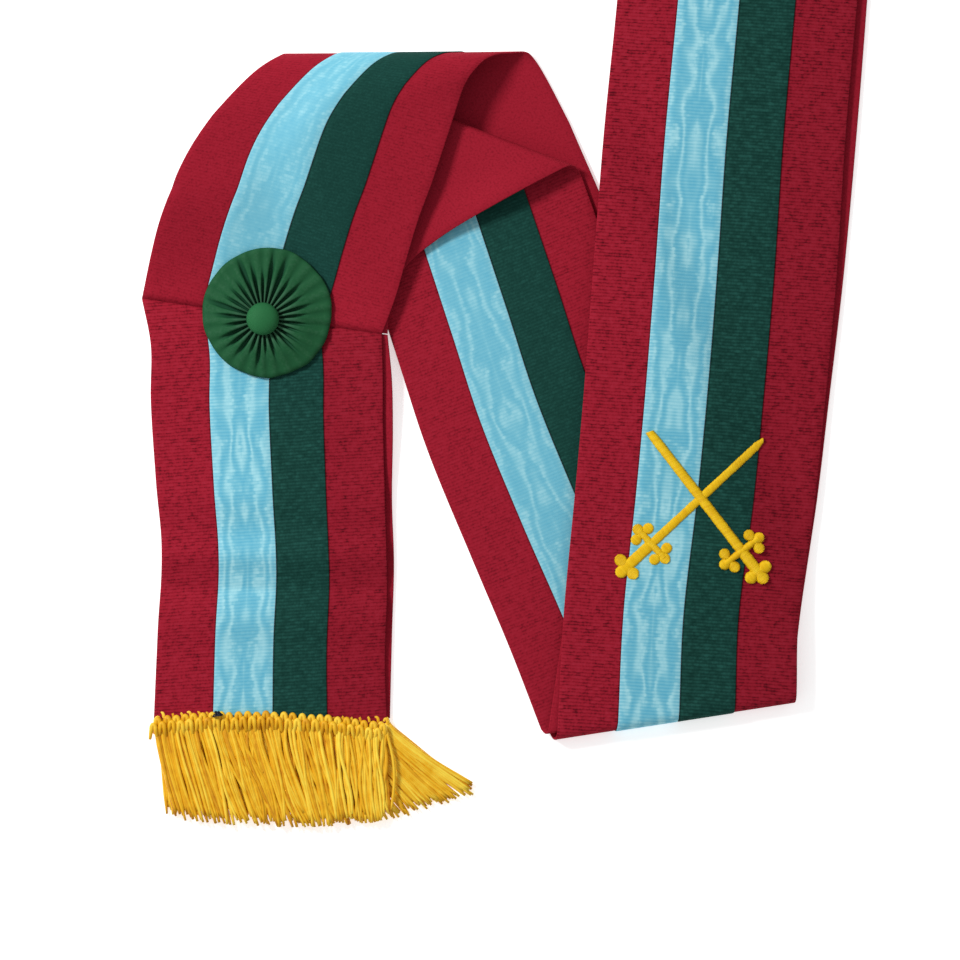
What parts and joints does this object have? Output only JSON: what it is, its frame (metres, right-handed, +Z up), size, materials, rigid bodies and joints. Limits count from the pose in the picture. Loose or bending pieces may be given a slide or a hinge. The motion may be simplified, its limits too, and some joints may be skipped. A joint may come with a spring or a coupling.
{
  "type": "embroidered ribbon sash",
  "caption": "Striped ribbon sash laid in soft folds, with a pleated rosette, crossed-sword embroidery and a fringe on each tail.",
  "frame": {"origin": "middle of the footprint, on the surface that the sash lies on", "axes": "+Z up, +Y from the fringed tails towards the shoulder fold, +X from the tails towards the strap"},
  "size_m": [0.313, 0.5138, 0.0208],
  "materials": {
    "crimson_ribbon": "grosgrain ribbon, fine cross ribs, low sheen",
    "sky_moire": "watered moire ribbon, satin",
    "green_ribbon": "grosgrain ribbon, fine cross ribs, low sheen",
    "yellow_thread": "rayon thread, satin",
    "rosette_ribbon": "pleated ribbon, low sheen",
    "rosette_cloth": "cloth drawn over a domed button, satin"
  },
  "bodies": {
    "root": {"front_strap_band": "crimson_ribbon", "front_strap_sky_ribbon": "sky_moire", "front_strap_green_ribbon": "green_ribbon", "front_roll_band": "crimson_ribbon", "front_roll_sky_ribbon": "sky_moire", "front_roll_green_ribbon": "green_ribbon", "front_under_band": "crimson_ribbon", "front_under_sky_ribbon": "sky_moire", "front_under_green_ribbon": "green_ribbon", "front_shoulder_band": "crimson_ribbon", "front_shoulder_sky_ribbon": "sky_moire", "front_shoulder_green_ribbon": "green_ribbon", "back_shoulder_band": "crimson_ribbon", "back_shoulder_sky_ribbon": "sky_moire", "back_shoulder_green_ribbon": "green_ribbon", "back_diagonal_band": "crimson_ribbon", "back_diagonal_sky_ribbon": "sky_moire", "back_diagonal_green_ribbon": "green_ribbon", "back_strap_band": "crimson_ribbon", "back_strap_sky_ribbon": "sky_moire", "back_strap_green_ribbon": "green_ribbon", "front_tail_band": "crimson_ribbon", "front_tail_sky_ribbon": "sky_moire", "front_tail_green_ribbon": "green_ribbon", "back_tail_band": "crimson_ribbon", "back_tail_sky_ribbon": "sky_moire", "back_tail_green_ribbon": "green_ribbon", "front_fringe": "yellow_thread", "back_fringe": "yellow_thread", "rosette_frill": "rosette_ribbon", "rosette_button": "rosette_cloth", "crossed_swords": "yellow_thread"}
  },
  "joints": []
}
